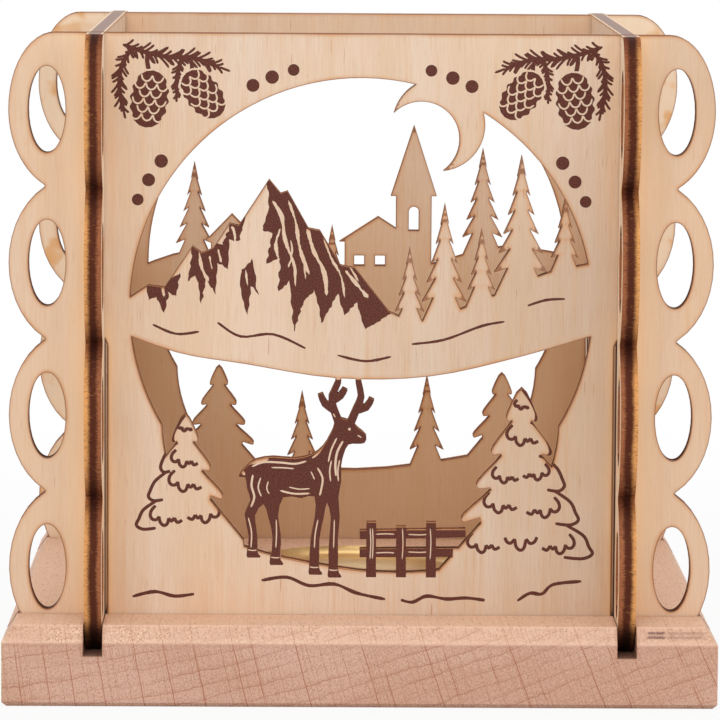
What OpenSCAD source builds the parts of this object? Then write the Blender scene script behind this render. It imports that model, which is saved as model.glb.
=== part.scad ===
// Plug-together tea-light lantern: four pierced plywood panels on a grooved beech board.
// Origin at the middle of the board's underside, front towards -Y, +Z up, millimetres.

/* [Board] */
// Width and depth of the square board
board_w = 126; // [122:1:140]
// Thickness of the board
board_t = 14.3; // [12:0.1:20]
// How far the bevel round the top runs in from the edge
bevel_in = 2; // [1:0.1:3]
// How far the bevel runs down the edge
bevel_drop = 2.9; // [1:0.1:4]
// Small bevel round the underside
foot_bevel = 0.8; // [0.3:0.1:1.5]
// Depth of the grooves that the panels stand in
groove_depth = 5.2; // [3:0.1:8]

/* [Plywood panels] */
// Thickness of the plywood
ply = 3; // [2.5:0.1:4]
// How far the panels' scallops stay inside the edge of the board
edge_inset = 0.5; // [0.2:0.1:3]
// From a panel's edge to the middle of the panel that crosses it
crossing_inset = 15.5; // [14.6:0.1:17]
// Scallops up each edge of a panel
scallops = 4; // [3:1:5]
// Height that one scallop takes
scallop_pitch = 27.2; // [26:0.1:29]
// Half width of the oval that a scallop follows
scallop_a = 11.1; // [9:0.1:12]
// How far that oval would run on past the valley to the next scallop
scallop_overlap = 1.2; // [0.5:0.1:3]
// Half width of the oval that rounds a panel's top corner
corner_a = 8.1; // [6:0.1:10]
// Width of the oval hole in each scallop
hole_w = 6.6; // [4:0.1:8]
// Height of the oval hole
hole_h = 15.3; // [10:0.1:18]
// Distance from a scallop's tip to the middle of its hole
hole_inset = 6.8; // [5:0.1:8]

/* [Fits] */
// Play of a slot on the inner side of the panel that it straddles
slot_play = 0.45; // [0.2:0.05:0.8]
// Play of a slot on the outer side, and above the panel below
slot_gap = 0.1; // [0.05:0.05:0.3]
// Slope at a slot's end that eases the panel in
slot_ease = 1; // [0:0.1:2]
// Play of a groove round the foot of a panel
groove_play = 0.45; // [0.2:0.05:0.8]
// Clearance of the nail in the board
nail_fit = 0.02; // [0.01:0.01:0.1]

/* [Picture windows] */
// Wood between the round window and the slots beside it
window_rim = 4; // [3:0.1:8]
// Wood over the window
window_head = 7.8; // [5:0.1:12]
// Wood under the window, down to the panel's foot
window_sill = 9.5; // [9:0.1:14]

/* [Brass dish] */
// Diameter of the dish over its rim
dish_d = 44; // [40:0.5:60]
// Height of the dish
dish_h = 2; // [1.5:0.1:5]
// Thickness of the brass
dish_sheet = 0.4; // [0.3:0.05:0.8]
// Angle at which the dish's curved wall ends, from upright
dish_flare = 20; // [5:1:45]

/* [Nail] */
// Diameter of the nail's shank
nail_d = 1.6; // [1.2:0.1:2.5]
// Diameter of its countersunk head
nail_head_d = 4; // [3:0.1:6]
// Height of the head
nail_head_h = 1.1; // [0.8:0.1:2]
// How far the head lies under the dish's floor
nail_sink = 0.1; // [0:0.05:0.3]
// Length of the nail, head and point included
nail_l = 8; // [6:0.5:10]

/* [Hidden] */

// Overrun of every cut past the faces that it opens
cut = 1;
round_fn = 60;
small_fn = 24;

groove_z = board_t - groove_depth;
groove_w = ply + groove_play;
panel_w = board_w - 2 * edge_inset;
panel_spacing = panel_w - 2 * crossing_inset;
panel_h = scallops * scallop_pitch;
slot_end = panel_h / 2;
slot_in = panel_spacing / 2 - ply / 2 - slot_play;
slot_out = panel_spacing / 2 + ply / 2 + slot_gap;

// Half height of a scallop's oval, the turn at which it meets its neighbour, and the share of that
// turn that is drawn before the valley between the two is rounded
scallop_b = scallop_pitch / 2 + scallop_overlap;
valley_turn = asin(scallop_pitch / 2 / scallop_b);
valley_share = 0.95;
arc_steps = 14;
valley_steps = 4;
corner_steps = 12;

// Curves: a bend through three points, a smooth run through a list, and the same closed
function bend(a, b, c, steps) = [
    for (k = [1:steps - 1]) let (t = k / steps) a * (1 - t) * (1 - t) + b * 2 * t * (1 - t) + c * t * t
];
function between(a, b, c, d, t) =
    (b * 2 + (c - a) * t + (a * 2 - b * 5 + c * 4 - d) * t * t + (b * 3 - a - c * 3 + d) * t * t * t) / 2;
function smooth_run(p, steps) = [
    for (i = [0:len(p) - 2], k = [0:steps - 1])
        between(p[max(i - 1, 0)], p[i], p[i + 1], p[min(i + 2, len(p) - 1)], k / steps),
    p[len(p) - 1]
];
function smooth_loop(p, steps) = [
    for (i = [0:len(p) - 1], k = [0:steps - 1]) let (n = len(p))
        between(p[(i + n - 1) % n], p[i], p[(i + 1) % n], p[(i + 2) % n], k / steps)
];
function reversed(p) = [for (i = [len(p) - 1:-1:0]) p[i]];
function mirrored(p) = [for (q = p) [-q.x, q.y]];
function sized(shares, size) = [for (q = shares) [q.x * size.x, q.y * size.y]];

// Outline of a panel: scallops up the right edge, the rounded top corner, and down the left
function scallop_point(i, turn) = [
    panel_w / 2 - scallop_a + scallop_a * cos(turn),
    scallop_pitch * (i + 0.5) + scallop_b * sin(turn)
];
function valley(i) = bend(
    scallop_point(i, valley_turn * valley_share), scallop_point(i, valley_turn),
    scallop_point(i + 1, -valley_turn * valley_share), valley_steps
);
function scallop(i) =
    let (low = i == 0 ? -valley_turn : -valley_turn * valley_share)
    let (high = i == scallops - 1 ? 0 : valley_turn * valley_share)
    [for (k = [0:arc_steps]) scallop_point(i, low + (high - low) * k / arc_steps)];
right_edge = [
    for (i = [0:scallops - 1]) each concat(scallop(i), i == scallops - 1 ? [] : valley(i)),
    for (k = [1:corner_steps]) let (turn = 90 * k / corner_steps)
        [panel_w / 2 - corner_a + corner_a * cos(turn), panel_h - scallop_pitch / 2 * (1 - sin(turn))]
];

// Under the round window lies an oval bay that lets the candle shine out low down. Its size and the
// place of its middle are shares of the window, as all places and sizes in the pictures are: seen from
// outside, from the window's middle, in half widths and half heights of the round window
bay_size_shares = [1.72, 1.46];
bay_middle_share = -0.50;
window_size = [
    slot_in - window_rim,
    (panel_h - window_head - window_sill) / (1 - bay_middle_share + bay_size_shares.y / 2)
];
window_rise = panel_h - window_head - window_size.y;
function at(share) = [share.x * window_size.x, share.y * window_size.y];
module oval(r) {
    scale(window_size * r) circle(1, $fn = small_fn);
}

// Fir tree one unit high: a skirt that runs down into the hill, and over it tiers whose tips
// hang below the notch of the tier under them
fir_width_share = 0.46;
fir_notch_share = 0.5;
fir_droop_share = 0.12;
fir_root_share = 0.25;
function fir_side(tiers) = [
    [fir_width_share / 2 * (1 + fir_root_share), -fir_root_share],
    for (k = [1:tiers - 1]) let (y = k / tiers, w = fir_width_share / 2 * (1 - y)) each [
        [w * fir_notch_share, y + fir_droop_share / tiers],
        [w, y - fir_droop_share / tiers]
    ]
];
function fir_outline(tiers) = concat(fir_side(tiers), [[0, 1]], reversed(mirrored(fir_side(tiers))));
module firs(places) {
    for (p = places) translate(at(p)) polygon(sized(fir_outline(p[3]), window_size * p[2]));
}

// Snow-laden fir one unit high: fatter, each tier a rounded bough that bulges out over a notch
snow_width_share = 0.84;
snow_notch_share = 0.70;
snow_bulge_shares = [0.02, 0.26];
snow_steps = 3;
function snow_side(tiers) = [
    [snow_width_share / 2 * (1 + fir_root_share), -fir_root_share],
    for (k = [1:tiers - 1]) let (y = k / tiers, w = snow_width_share / 2 * (1 - y)) each [
        [w * snow_notch_share, y],
        [w, y + snow_bulge_shares[0] / tiers],
        [w, y + snow_bulge_shares[1] / tiers]
    ]
];
function snow_outline(tiers) =
    smooth_loop(concat(snow_side(tiers), [[0, 1]], reversed(mirrored(snow_side(tiers)))), snow_steps);
module snow_firs(places) {
    for (p = places) translate(at(p)) polygon(sized(snow_outline(p[3]), window_size * p[2]));
}

// A line that tapers from one width to another along a list of points
function across(p, i) =
    let (d = p[min(i + 1, len(p) - 1)] - p[max(i - 1, 0)]) [-d.y, d.x] / norm(d);
function ribbon(p, wide, narrow) =
    let (n = len(p) - 1)
    let (half = [for (i = [0:n]) (wide + (narrow - wide) * i / n) / 2])
    concat([for (i = [0:n]) p[i] + across(p, i) * half[i]],
        reversed([for (i = [0:n]) p[i] - across(p, i) * half[i]]));

// Stag one unit high from its hooves to the tips of its antlers, facing right
stag_body_shares = [
    [0.345, 0.700], [0.300, 0.740], [0.255, 0.782], [0.205, 0.797], [0.150, 0.835], [0.165, 0.765],
    [0.140, 0.700], [0.100, 0.635], [0.040, 0.590], [-0.060, 0.568], [-0.180, 0.576], [-0.275, 0.560],
    [-0.330, 0.520], [-0.372, 0.465], [-0.335, 0.462], [-0.325, 0.400], [-0.305, 0.325], [-0.338, 0.250],
    [-0.315, 0.125], [-0.322, -0.060], [-0.268, -0.060], [-0.268, 0.130], [-0.282, 0.240], [-0.232, 0.310],
    [-0.205, 0.235], [-0.180, 0.120], [-0.190, -0.060], [-0.138, -0.060], [-0.134, 0.125], [-0.150, 0.235],
    [-0.120, 0.350], [-0.020, 0.345], [0.055, 0.355], [0.058, 0.235], [0.035, 0.110], [0.030, -0.060],
    [0.080, -0.060], [0.084, 0.110], [0.108, 0.235], [0.125, 0.320], [0.148, 0.235], [0.140, 0.110],
    [0.138, -0.060], [0.188, -0.060], [0.188, 0.110], [0.198, 0.235], [0.190, 0.350], [0.205, 0.440],
    [0.205, 0.530], [0.220, 0.600], [0.245, 0.650], [0.290, 0.655], [0.335, 0.660]
];
stag_steps = 2;
antler_wide_share = 0.046;
antler_tip_share = 0.030;
antler_shares = [
    [[0.195, 0.760], [0.160, 0.850], [0.150, 0.920], [0.185, 1.000], [0.190, 1.120]],
    [[0.250, 0.755], [0.290, 0.850], [0.315, 0.920], [0.300, 1.000], [0.295, 1.120]],
    [[0.165, 0.845], [0.110, 0.880], [0.085, 0.935]],
    [[0.155, 0.900], [0.200, 0.925], [0.225, 0.965]],
    [[0.280, 0.845], [0.345, 0.860], [0.375, 0.910]]
];
module stag(size) {
    polygon(sized(smooth_loop(stag_body_shares, stag_steps), size));
    for (tine = antler_shares)
        polygon(sized(ribbon(smooth_run(tine, stag_steps), antler_wide_share, antler_tip_share), size));
}

// Front picture: a crag and a hill across the window, a stag, a rail fence and firs below
hill_steps = 4;
crag_shares = [
    [-1.10, -0.02], [-0.92, 0.10], [-0.85, 0.09], [-0.73, 0.27], [-0.69, 0.24], [-0.64, 0.26], [-0.57, 0.37],
    [-0.53, 0.36], [-0.40, 0.56], [-0.35, 0.50], [-0.32, 0.51], [-0.23, 0.35], [-0.18, 0.34], [-0.09, 0.19],
    [-0.03, 0.18]
];
front_hill_shares = [[0.12, -0.01], [0.26, -0.05], [0.50, 0.03], [0.80, 0.16], [1.10, 0.22]];
front_scarp_shares = [
    [1.10, -0.08], [0.70, -0.20], [0.30, -0.29], [-0.10, -0.30], [-0.50, -0.24], [-0.80, -0.19], [-1.10, -0.08]
];
front_ground_shares = [
    [-1.10, -0.82], [-0.80, -0.88], [-0.50, -1.04], [-0.15, -1.12], [0.15, -1.15], [0.45, -1.12],
    [0.80, -1.00], [1.10, -0.90]
];
// Each fir: place of its foot, height, tiers
front_fir_shares = [
    [0.21, -0.07, 0.34, 5], [0.36, -0.04, 0.50, 6], [0.52, 0.03, 0.32, 5], [0.69, 0.09, 0.58, 7],
    [0.88, 0.17, 0.32, 5]
];
front_snow_shares = [[0.70, -1.08, 0.74, 5], [-0.76, -0.96, 0.50, 4]];
stag_place_share = [-0.24, -1.09];
stag_h_share = 0.77;
moon_place_share = [0.33, 0.80];
moon_r_share = 0.20;
moon_bite_share = [-0.075, -0.065];
moon_bite_r_share = 0.165;
post_shares = [[0.05, -0.93], [0.18, -0.95], [0.31, -0.93]];
post_w_share = 0.042;
post_h_share = 0.4;
rail_shares = [[[0.00, -0.985], [0.46, -0.975]], [[0.00, -1.065], [0.46, -1.060]]];
rail_w_share = 0.036;

// The land from a top edge down to a bottom edge, both given left to right and right to left
module land(top, bottom) {
    polygon(sized(concat(top, bottom), window_size));
}
soil_share = -2;
function soil(edge) = [[edge[len(edge) - 1].x, soil_share], [edge[0].x, soil_share]];
module fence() {
    for (p = post_shares)
        translate(at([p.x - post_w_share / 2, p.y - post_h_share])) square(at([post_w_share, post_h_share]));
    for (r = rail_shares) polygon(sized(ribbon(r, rail_w_share, rail_w_share), window_size));
}
module moon() {
    translate(at(moon_place_share)) difference() {
        oval(moon_r_share);
        translate(at(moon_bite_share)) oval(moon_bite_r_share);
    }
}
module front_picture() {
    land(concat(crag_shares, smooth_run(front_hill_shares, hill_steps)), smooth_run(front_scarp_shares, hill_steps));
    land(smooth_run(front_ground_shares, hill_steps), soil(front_ground_shares));
    firs(front_fir_shares);
    snow_firs(front_snow_shares);
    translate(at(stag_place_share)) stag(window_size * stag_h_share);
    fence();
    moon();
}

// Back picture: a hamlet with its chapel on a hill, firs in the valley below
back_hill_shares = [
    [-1.10, 0.02], [-0.70, 0.08], [-0.30, -0.02], [0.10, -0.08], [0.50, 0.00], [0.80, 0.05], [1.10, -0.05]
];
back_scarp_shares = [[1.10, -0.34], [0.60, -0.42], [0.00, -0.46], [-0.60, -0.42], [-1.10, -0.30]];
back_ground_shares = [[-1.10, -0.80], [-0.60, -0.92], [0.00, -1.00], [0.60, -0.94], [1.10, -0.78]];
back_fir_shares = [
    [-0.60, 0.05, 0.50, 6], [-0.78, 0.05, 0.34, 5], [0.12, -0.10, 0.28, 4], [0.78, 0.02, 0.46, 6],
    [-0.34, -0.98, 0.44, 5], [0.26, -1.00, 0.38, 5]
];
back_snow_shares = [[-0.70, -0.95, 0.42, 4], [0.66, -0.98, 0.48, 5]];
// Each building: place of its foot, width, height of its walls, height of its roof
building_shares = [
    [-0.10, -0.10, 0.32, 0.20, 0.12], [-0.27, -0.10, 0.17, 0.42, 0.34],
    [0.34, -0.06, 0.24, 0.14, 0.15], [0.60, -0.02, 0.20, 0.12, 0.13]
];
eave_share = 0.025;
cellar_share = 0.2;
module building(b) {
    half = b[2] / 2;
    translate(at(b)) polygon(sized([
        [-half, -cellar_share], [half, -cellar_share], [half, b[3]], [half + eave_share, b[3]],
        [0, b[3] + b[4]], [-half - eave_share, b[3]], [-half, b[3]]
    ], window_size));
}
// Middles of the lit panes, square but for the tower's tall one
pane_shares = [[-0.11, 0.01], [-0.01, 0.01], [0.29, 0.00], [0.39, 0.00], [0.60, 0.03]];
pane_w_share = 0.048;
belfry_share = [-0.27, 0.20];
belfry_h_share = 0.09;
module panes() {
    for (p = pane_shares) translate(at(p)) square(at([pane_w_share, pane_w_share]), center = true);
    translate(at(belfry_share)) {
        square(at([pane_w_share, belfry_h_share]), center = true);
        translate(at([0, belfry_h_share / 2])) oval(pane_w_share / 2);
    }
}
module buildings() {
    difference() {
        for (b = building_shares) building(b);
        panes();
    }
}
module back_picture() {
    land(smooth_run(back_hill_shares, hill_steps), smooth_run(back_scarp_shares, hill_steps));
    land(smooth_run(back_ground_shares, hill_steps), soil(back_ground_shares));
    firs(back_fir_shares);
    snow_firs(back_snow_shares);
    buildings();
}

// Side picture: a wooded saddle with firs below
side_hill_shares = [[-1.10, 0.20], [-0.70, 0.10], [-0.20, -0.10], [0.30, -0.15], [0.80, 0.00], [1.10, 0.10]];
side_scarp_shares = [[1.10, -0.28], [0.60, -0.38], [0.00, -0.44], [-0.60, -0.36], [-1.10, -0.22]];
side_ground_shares = [[-1.10, -0.82], [-0.50, -0.98], [0.00, -1.05], [0.50, -0.99], [1.10, -0.84]];
side_fir_shares = [
    [-0.66, 0.05, 0.50, 6], [-0.42, -0.04, 0.34, 5], [-0.10, -0.15, 0.58, 7], [0.20, -0.19, 0.38, 5],
    [0.50, -0.14, 0.62, 7], [0.76, -0.04, 0.40, 5], [0.02, -1.04, 0.40, 5]
];
side_snow_shares = [[-0.48, -1.00, 0.54, 5], [0.52, -1.00, 0.46, 4]];
module side_picture() {
    land(smooth_run(side_hill_shares, hill_steps), smooth_run(side_scarp_shares, hill_steps));
    land(smooth_run(side_ground_shares, hill_steps), soil(side_ground_shares));
    firs(side_fir_shares);
    snow_firs(side_snow_shares);
}

// The window with its bay; its children are the picture left standing
module window() {
    difference() {
        union() {
            scale(window_size) circle(1, $fn = round_fn);
            translate(at([0, bay_middle_share])) scale(at(bay_size_shares)) circle(d = 1, $fn = round_fn);
        }
        children();
    }
}

// One slot at the right of a panel, open downwards, with a slope that eases the other panel in
module slot() {
    polygon([
        [slot_in, -cut], [slot_out, -cut], [slot_out, slot_end + slot_gap],
        [slot_in + slot_play, slot_end + slot_gap], [slot_in, slot_end - slot_ease]
    ]);
}
module slots() {
    slot();
    mirror([1, 0]) slot();
}

// A panel flat on its back, foot at the bottom; its children are the picture
module panel_blank() {
    difference() {
        polygon(concat(right_edge, reversed(mirrored(right_edge))));
        for (i = [0:scallops - 1], side = [-1, 1])
            translate([side * (panel_w / 2 - hole_inset), scallop_pitch * (i + 0.5)])
                scale([hole_w, hole_h]) circle(d = 1, $fn = small_fn);
        translate([0, window_rise]) window() children();
    }
}
// Stands a panel in its groove with its outside towards -Y
module stand() {
    translate([0, -panel_spacing / 2 + ply / 2, groove_z]) rotate([90, 0, 0]) linear_extrude(ply) children();
}
// The front and back panels are slotted from below, and drop over the side panels' upward slots
module outer_panel() {
    stand() difference() {
        panel_blank() children();
        slots();
    }
}
module inner_panel() {
    stand() difference() {
        panel_blank() children();
        translate([0, panel_h]) mirror([0, 1]) slots();
    }
}

module front_panel() {
    color("burlywood") outer_panel() front_picture();
}
module back_panel() {
    color("burlywood") rotate([0, 0, 180]) outer_panel() back_picture();
}
module left_panel() {
    color("wheat") rotate([0, 0, -90]) inner_panel() side_picture();
}
module right_panel() {
    color("wheat") rotate([0, 0, 90]) inner_panel() side_picture();
}

// Section of the board, bevelled above and below, and drawn along its whole depth
module board_section() {
    half = board_w / 2;
    rotate([90, 0, 0]) linear_extrude(board_w, center = true) polygon([
        [-half + foot_bevel, 0], [half - foot_bevel, 0], [half, foot_bevel], [half, board_t - bevel_drop],
        [half - bevel_in, board_t], [-half + bevel_in, board_t], [-half, board_t - bevel_drop], [-half, foot_bevel]
    ]);
}
module groove() {
    translate([panel_spacing / 2 - ply / 2 - groove_play / 2, -board_w / 2 - cut, groove_z])
        cube([groove_w, board_w + 2 * cut, groove_depth + cut]);
}
module base_board() {
    color("tan") difference() {
        intersection() {
            board_section();
            rotate([0, 0, 90]) board_section();
        }
        for (turn = [0:90:270]) rotate([0, 0, turn]) groove();
        translate([0, 0, nail_foot - nail_fit])
            cylinder(r = nail_bore_r, h = board_t - nail_foot + nail_fit + cut, $fn = small_fn);
        translate([0, 0, sink_foot])
            cylinder(
                r1 = nail_bore_r, r2 = nail_bore_r + (board_t + cut - sink_foot) * head_slope,
                h = board_t + cut - sink_foot, $fn = small_fn
            );
    }
}

// Nail: pointed shank through the dish into the board, and a countersunk head
nail_top = board_t + dish_sheet - nail_sink;
nail_foot = nail_top - nail_l;
nail_point = nail_d;
nail_bore_r = nail_d / 2 + nail_fit;
head_foot = nail_top - nail_head_h;
head_slope = (nail_head_d - nail_d) / 2 / nail_head_h;
module dish_nail() {
    color("goldenrod") rotate_extrude($fn = small_fn) polygon([
        [0, nail_foot], [nail_d / 2, nail_foot + nail_point], [nail_d / 2, head_foot],
        [nail_head_d / 2, nail_top], [0, nail_top]
    ]);
}

// Dish: the floor is dimpled down round the nail's head, as far as the lip of its hole, and its wall
// curves up and out. The board is countersunk for the dimple
wall_r = dish_h / (1 - sin(dish_flare));
floor_r = dish_d / 2 - wall_r * cos(dish_flare);
wall_turn = 90 - dish_flare;
wall_steps = 5;
function wall_arc(r) = [
    for (k = [0:wall_steps]) let (turn = wall_turn * k / wall_steps - 90)
        [floor_r + r * cos(turn), board_t + wall_r + r * sin(turn)]
];
lip_share = 0.3;
lip_z = head_foot + nail_head_h * lip_share;
slope_length = norm([1, head_slope]);
sink_foot = head_foot - (dish_sheet * slope_length + nail_fit) / head_slope;
function dimple(z) = [nail_bore_r + (z - head_foot) * head_slope, z];
module tealight_dish() {
    color("gold") rotate_extrude($fn = round_fn) polygon(concat(
        [dimple(lip_z), dimple(lip_z) + [1, -head_slope] * dish_sheet / slope_length],
        [dimple(board_t) + [dish_sheet * slope_length, 0]],
        wall_arc(wall_r), reversed(wall_arc(wall_r - dish_sheet)),
        [dimple(board_t + dish_sheet)]
    ));
}

base_board();
front_panel();
back_panel();
left_panel();
right_panel();
tealight_dish();
dish_nail();
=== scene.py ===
import math

import bpy
import numpy as np
from mathutils import Matrix
from mathutils.geometry import delaunay_2d_cdt


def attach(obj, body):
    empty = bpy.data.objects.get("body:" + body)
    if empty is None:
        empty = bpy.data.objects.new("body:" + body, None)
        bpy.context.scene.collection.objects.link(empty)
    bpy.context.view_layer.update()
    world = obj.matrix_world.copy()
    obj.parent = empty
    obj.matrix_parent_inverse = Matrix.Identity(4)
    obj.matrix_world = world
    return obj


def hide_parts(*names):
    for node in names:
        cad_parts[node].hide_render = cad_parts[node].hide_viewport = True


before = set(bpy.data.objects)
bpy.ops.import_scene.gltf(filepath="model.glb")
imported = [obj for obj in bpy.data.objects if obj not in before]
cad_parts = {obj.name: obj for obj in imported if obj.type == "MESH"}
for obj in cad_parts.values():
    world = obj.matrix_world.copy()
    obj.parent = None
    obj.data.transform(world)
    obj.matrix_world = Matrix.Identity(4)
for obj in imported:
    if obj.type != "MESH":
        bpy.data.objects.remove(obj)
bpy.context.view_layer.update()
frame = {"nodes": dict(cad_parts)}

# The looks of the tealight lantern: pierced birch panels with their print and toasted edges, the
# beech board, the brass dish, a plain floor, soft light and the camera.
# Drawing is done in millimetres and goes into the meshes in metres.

MM = 0.001
nodes = frame["nodes"]

# ---- Sizes of the real pieces that the drawing follows
PLY = 3.0                              # thickness of a panel
PANEL_MIDDLE = 47.0                    # from the lantern's middle to a panel's middle
PANEL_HALF = 62.5                      # half the width of a panel
PANEL_FOOT = 9.1                       # height of a panel's foot over the table
PANEL_TOP = 117.9
JOINT = PANEL_HALF - PANEL_MIDDLE      # from a panel's side to the middle of its joint
SLOT_TOP = 63.6                        # where the slots of the front and the back panel end
WINDOW = np.array([41.05, 41.03])      # half width and half height of the round window
WINDOW_MIDDLE = np.array([0.0, 69.07])  # across the panel, and over the table
BOARD_TOP = 14.3
BEVEL_FOOT = 11.25                     # where the board's upright sides end


def at(shares):
    """Places in the window, from a run of x and y: shares of its half size, from its middle."""
    return np.reshape(shares, (-1, 2)) * WINDOW + WINDOW_MIDDLE


# ---- Lines and flat shapes of the print. A shape is (outline, inked): later shapes lie over earlier ones

def smooth(points, steps):
    """Curve through points: on each span the cubic whose slope at a point is half of the chord
    between that point's two neighbours, taken at `steps` even values of its parameter."""
    p = np.reshape(points, (-1, 2)).astype(float)
    spans = np.vstack([p[:1], p[:-2]]), p[:-1], p[1:], np.vstack([p[2:], p[-1:]])
    a, b, c, d = (q[:, None, :] for q in spans)
    t = (np.arange(steps) / steps)[None, :, None]
    q = (2 * b + (c - a) * t + (2 * a - 5 * b + 4 * c - d) * t ** 2 + (3 * b - a - 3 * c + d) * t ** 3) / 2
    return np.vstack([q.reshape(-1, 2), p[-1:]])


def stroke(points, width, tip=0.3, steps=5, wander=0.0):
    """Outline of a pen stroke: a smooth line, and to each side of it half the width, which falls to
    `tip` of itself at both ends as the top of a superellipse does; wander makes it uneven."""
    p = smooth(points, steps)
    run = np.gradient(p, axis=0)
    side = np.stack([-run[:, 1], run[:, 0]], 1) / np.linalg.norm(run, axis=1)[:, None]
    s = np.linspace(-1, 1, len(p))
    half = width / 2 * (tip + (1 - tip) * np.sqrt(1 - s ** 8))
    half = half * (1 + wander * np.sin(5 * s + p[:, 0]) * np.sin(3.1 * s + p[:, 1]))
    return np.vstack([p + side * half[:, None], (p - side * half[:, None])[::-1]])


def disc(middle, r, sides=20):
    """Circle: the middle plus r times the cosine and sine of even turns."""
    turn = np.arange(sides) * 2 * np.pi / sides
    return np.asarray(middle) + r * np.stack([np.cos(turn), np.sin(turn)], 1)


def turned(points, angle, to):
    """Points turned about the origin by an angle in degrees, and then moved."""
    a = math.radians(angle)
    turn = np.array([[math.cos(a), math.sin(a)], [-math.sin(a), math.cos(a)]])
    return np.asarray(points, float) @ turn + to


def mirrored(shapes):
    """Shapes seen in a mirror that stands along the panel's middle line."""
    return [(outline * (-1, 1), inked) for outline, inked in shapes]


# Drifts of snow on a bough, arc by arc, in shares of their width
DRIFT_HOOK = (
    [(.19, .68), (.05, .53), (.01, .37), (.08, .25), (.20, .24), (.29, .33)],
    [(.28, .34), (.31, .15), (.42, .04), (.53, .10), (.58, .27)],
    [(.575, .27), (.66, .17), (.76, .27)], [(.755, .27), (.84, .12), (1.0, .18)])
DRIFT_EVEN = (
    [(0, .42), (.06, .29), (.18, .24), (.31, .37)],
    [(.31, .38), (.35, .14), (.48, .02), (.60, .10), (.66, .37)],
    [(.66, .38), (.78, .24), (.92, .28), (1, .44)])
SNOW_HALF = 0.42                       # half width of a snowy fir one unit high
SNOW_PEN = 0.60


def drift(middle, wide, hook, tilt):
    """A drift's arcs; hook 1 rises to the left, -1 to the right, and 0 is even. Tilt is in degrees."""
    shapes = []
    for arc in DRIFT_HOOK if hook else DRIFT_EVEN:
        line = (np.array(arc) - (0.5, 0.25)) * (wide * (-1 if hook < 0 else 1), wide)
        shapes.append((stroke(turned(line, tilt, middle), SNOW_PEN, tip=0.75), True))
    return shapes


def snowy_fir(foot, high, tiers, outer=0):
    """Drifts of a snowy fir, row over row: a row's drifts share the width of the tree at its height,
    half width SNOW_HALF * (1 - share of the height). outer is the side, if any, at which the tree
    stands on the panel, so that its boughs there are drawn as lines."""
    lane, widest, topmost = 6.9, 5.9, 2.6
    foot, size = at(foot), high * WINDOW
    shapes = []
    for k in range(tiers):
        y = (k + (0.46 if k else 0.34)) / tiers
        half = SNOW_HALF * (1 - y) * size[0] * 0.84
        count = max(1, int(round(2 * half / lane)))
        wide = min(widest, 2 * half / count * 0.86) if k < tiers - 1 else topmost
        for i in range(count):
            x = (i + 0.5) / count * 2 - 1 + 0.05 * math.sin(2.9 * k)
            hook = 0 if abs(x) < 0.3 and count > 1 else (1 if x < -0.01 or (count == 1 and k % 2) else -1)
            lift = 0.55 * math.sin(2.3 * k + 1.7 * i)
            shapes += drift(foot + (x * half, y * size[1] + lift), wide, hook, -6 * x)
        if outer:
            w, above = SNOW_HALF * (1 - k / tiers), SNOW_HALF * (1 - (k + 1) / tiers)
            bough = np.array([(0.60 * w, k + 0.01), (0.86 * w, k - 0.03), (w, k + 0.11), (0.95 * w, k + 0.33),
                              (0.55 * w + 0.40 * above, k + 0.66), (0.78 * above, k + 0.97)]) / (1, tiers)
            shapes.append((stroke(foot + bough * (outer, 1) * size, SNOW_PEN, tip=0.75), True))
    return shapes


def rough(outline, reach=0.11, step=0.45):
    """An outline with the ragged edge of ink on grain: sides split at every `step`, and each point
    moved by sines of its own place, by about `reach`."""
    p, _ = split_edges(outline, np.roll(outline, -1, 0), step)
    x, y = p[:, 0], p[:, 1]
    move_x = np.sin(5.1 * x + 2.3 * y) + 0.7 * np.sin(11.7 * y - 3.1 * x)
    move_y = np.sin(4.3 * y - 3.7 * x) + 0.7 * np.sin(12.9 * x + 4.1 * y)
    return p + reach * np.stack([move_x, move_y], 1)


def fir_cone(middle, angle, long, wide):
    """A fir cone that points along angle: an oval of ink whose half width is that of an ellipse to
    the power 0.84 with low bumps, and pale edges of overlapping scales in rows."""
    s = np.linspace(-1, 1, 41)
    half = wide / 2 * (1 - s ** 2) ** 0.42 * (1 + 0.07 * np.cos(s * 17))
    body = np.vstack([np.stack([s * long / 2, half], 1), np.stack([s * long / 2, -half], 1)[::-1][1:-1]])
    halo = (1.06, 1.16)                      # pale margin that parts a cone from the twigs behind it
    shapes = [(turned(body * halo, angle, middle), False), (turned(body, angle, middle), True)]
    for row in range(6):
        x = long * (-0.36 + 0.135 * row)
        span = wide / 2 * (1 - (2 * x / long) ** 2) ** 0.5
        for i in (-1, 0, 1) if row % 2 else (-0.5, 0.5):
            y = i * wide * 0.31
            if abs(y) < span - 0.3:
                scale = np.array([(-0.50, -0.15), (0.28, -0.10), (0.62, 0), (0.28, 0.10), (-0.50, 0.15)])
                line = turned(scale * (1, wide) + (x, y), angle, middle)
                shapes.append((stroke(line, 0.30, tip=0.4), False))
    return shapes


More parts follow.
